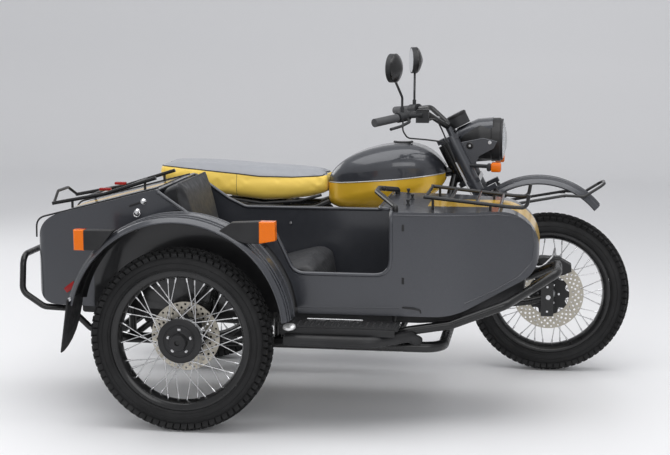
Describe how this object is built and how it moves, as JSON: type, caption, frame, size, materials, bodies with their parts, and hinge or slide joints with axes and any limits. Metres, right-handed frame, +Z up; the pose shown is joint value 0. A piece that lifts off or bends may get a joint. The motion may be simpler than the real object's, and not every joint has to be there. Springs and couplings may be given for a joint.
{
  "type": "sidecar motorcycle",
  "caption": "Touring motorcycle with a passenger sidecar on its right: spoked wheels, leading-link fork, flat twin engine, tub with a seat, trunk lid and racks.",
  "frame": {"origin": "on the floor below the middle of the overall box", "axes": "+X ahead in the driving direction, +Y to the motorcycle's left, +Z up"},
  "size_m": [2.335, 1.6284, 1.364],
  "materials": {
    "body_paint": "metallic gloss",
    "black_paint": "gloss",
    "case_metal": "satin",
    "bright_metal": "satin",
    "chrome": "polished",
    "tyre": "matt",
    "grip_rubber": "matt",
    "black_plastic": "matt",
    "amber": "gloss",
    "lens": "clear",
    "seat_vinyl": "grained"
  },
  "bodies": {
    "chassis": {"motorcycle_frame": "black_paint", "rider_seat": "seat_vinyl", "rear_fender": "body_paint", "engine_block": "case_metal", "cylinders": "case_metal", "air_intake": "black_plastic", "exhausts": "black_paint", "fuel_tank": "body_paint", "tank_cap": "chrome", "side_covers": "body_paint", "tail_lamp": "black_plastic", "rear_swing_arm": "black_paint", "rear_shocks": "black_paint", "sidecar_frame": "black_paint", "sidecar_underpan": "black_paint", "sidecar_tub": "body_paint", "hood_rack": "black_paint", "grab_handle": "black_paint", "sidecar_bumpers": "black_paint", "step_board": "black_paint", "seat_cushion": "seat_vinyl", "seat_back": "seat_vinyl", "sidecar_fender": "body_paint", "mud_flap": "grip_rubber", "fender_lamps": "amber", "sidecar_swing_arm": "black_paint"},
    "steering": {"fork": "black_paint", "handlebar": "black_paint", "grips": "grip_rubber", "hand_controls": "black_plastic", "mirrors": "black_plastic", "headlight_shell": "body_paint", "headlight_lens": "lens", "gauge": "black_plastic", "front_indicators": "amber", "leading_link": "black_paint", "front_shocks": "black_paint", "front_caliper": "black_paint", "front_fender": "body_paint", "fender_bar": "black_paint", "cables": "grip_rubber"},
    "front_wheel": {"front_wheel_tyre": "tyre", "front_wheel_rim": "black_paint", "front_wheel_hub": "case_metal", "front_wheel_spokes": "bright_metal"},
    "rear_wheel": {"rear_wheel_tyre": "tyre", "rear_wheel_rim": "black_paint", "rear_wheel_hub": "case_metal", "rear_wheel_spokes": "bright_metal"},
    "sidecar_wheel": {"sidecar_wheel_tyre": "tyre", "sidecar_wheel_rim": "black_paint", "sidecar_wheel_hub": "case_metal", "sidecar_wheel_spokes": "bright_metal"},
    "trunk_lid": {"trunk_lid": "body_paint", "trunk_rack": "black_paint"},
    "centre_stand": {"centre_stand": "black_paint"}
  },
  "joints": [
    {"name": "steering_turn", "type": "hinge", "parent": "chassis", "child": "steering", "pos_m": [0.4175, 0.401, 0.884], "axis": [-0.454, 0, 0.891], "range_deg": [-35, 35]},
    {"name": "front_wheel_roll", "type": "hinge", "parent": "steering", "child": "front_wheel", "pos_m": [0.8295, 0.401, 0.338], "axis": [0, 1, 0], "continuous": true},
    {"name": "rear_wheel_roll", "type": "hinge", "parent": "chassis", "child": "rear_wheel", "pos_m": [-0.6605, 0.401, 0.338], "axis": [0, 1, 0], "continuous": true},
    {"name": "sidecar_wheel_roll", "type": "hinge", "parent": "chassis", "child": "sidecar_wheel", "pos_m": [-0.4865, -0.729, 0.338], "axis": [0, 1, 0], "continuous": true},
    {"name": "trunk_lid_swing", "type": "hinge", "parent": "chassis", "child": "trunk_lid", "pos_m": [-1.1045, -0.294, 0.666], "axis": [0, -1, 0], "range_deg": [0, 65]},
    {"name": "centre_stand_swing", "type": "hinge", "parent": "chassis", "child": "centre_stand", "pos_m": [-0.1555, 0.401, 0.214], "axis": [0, -1, 0], "range_deg": [0, 45]}
  ]
}
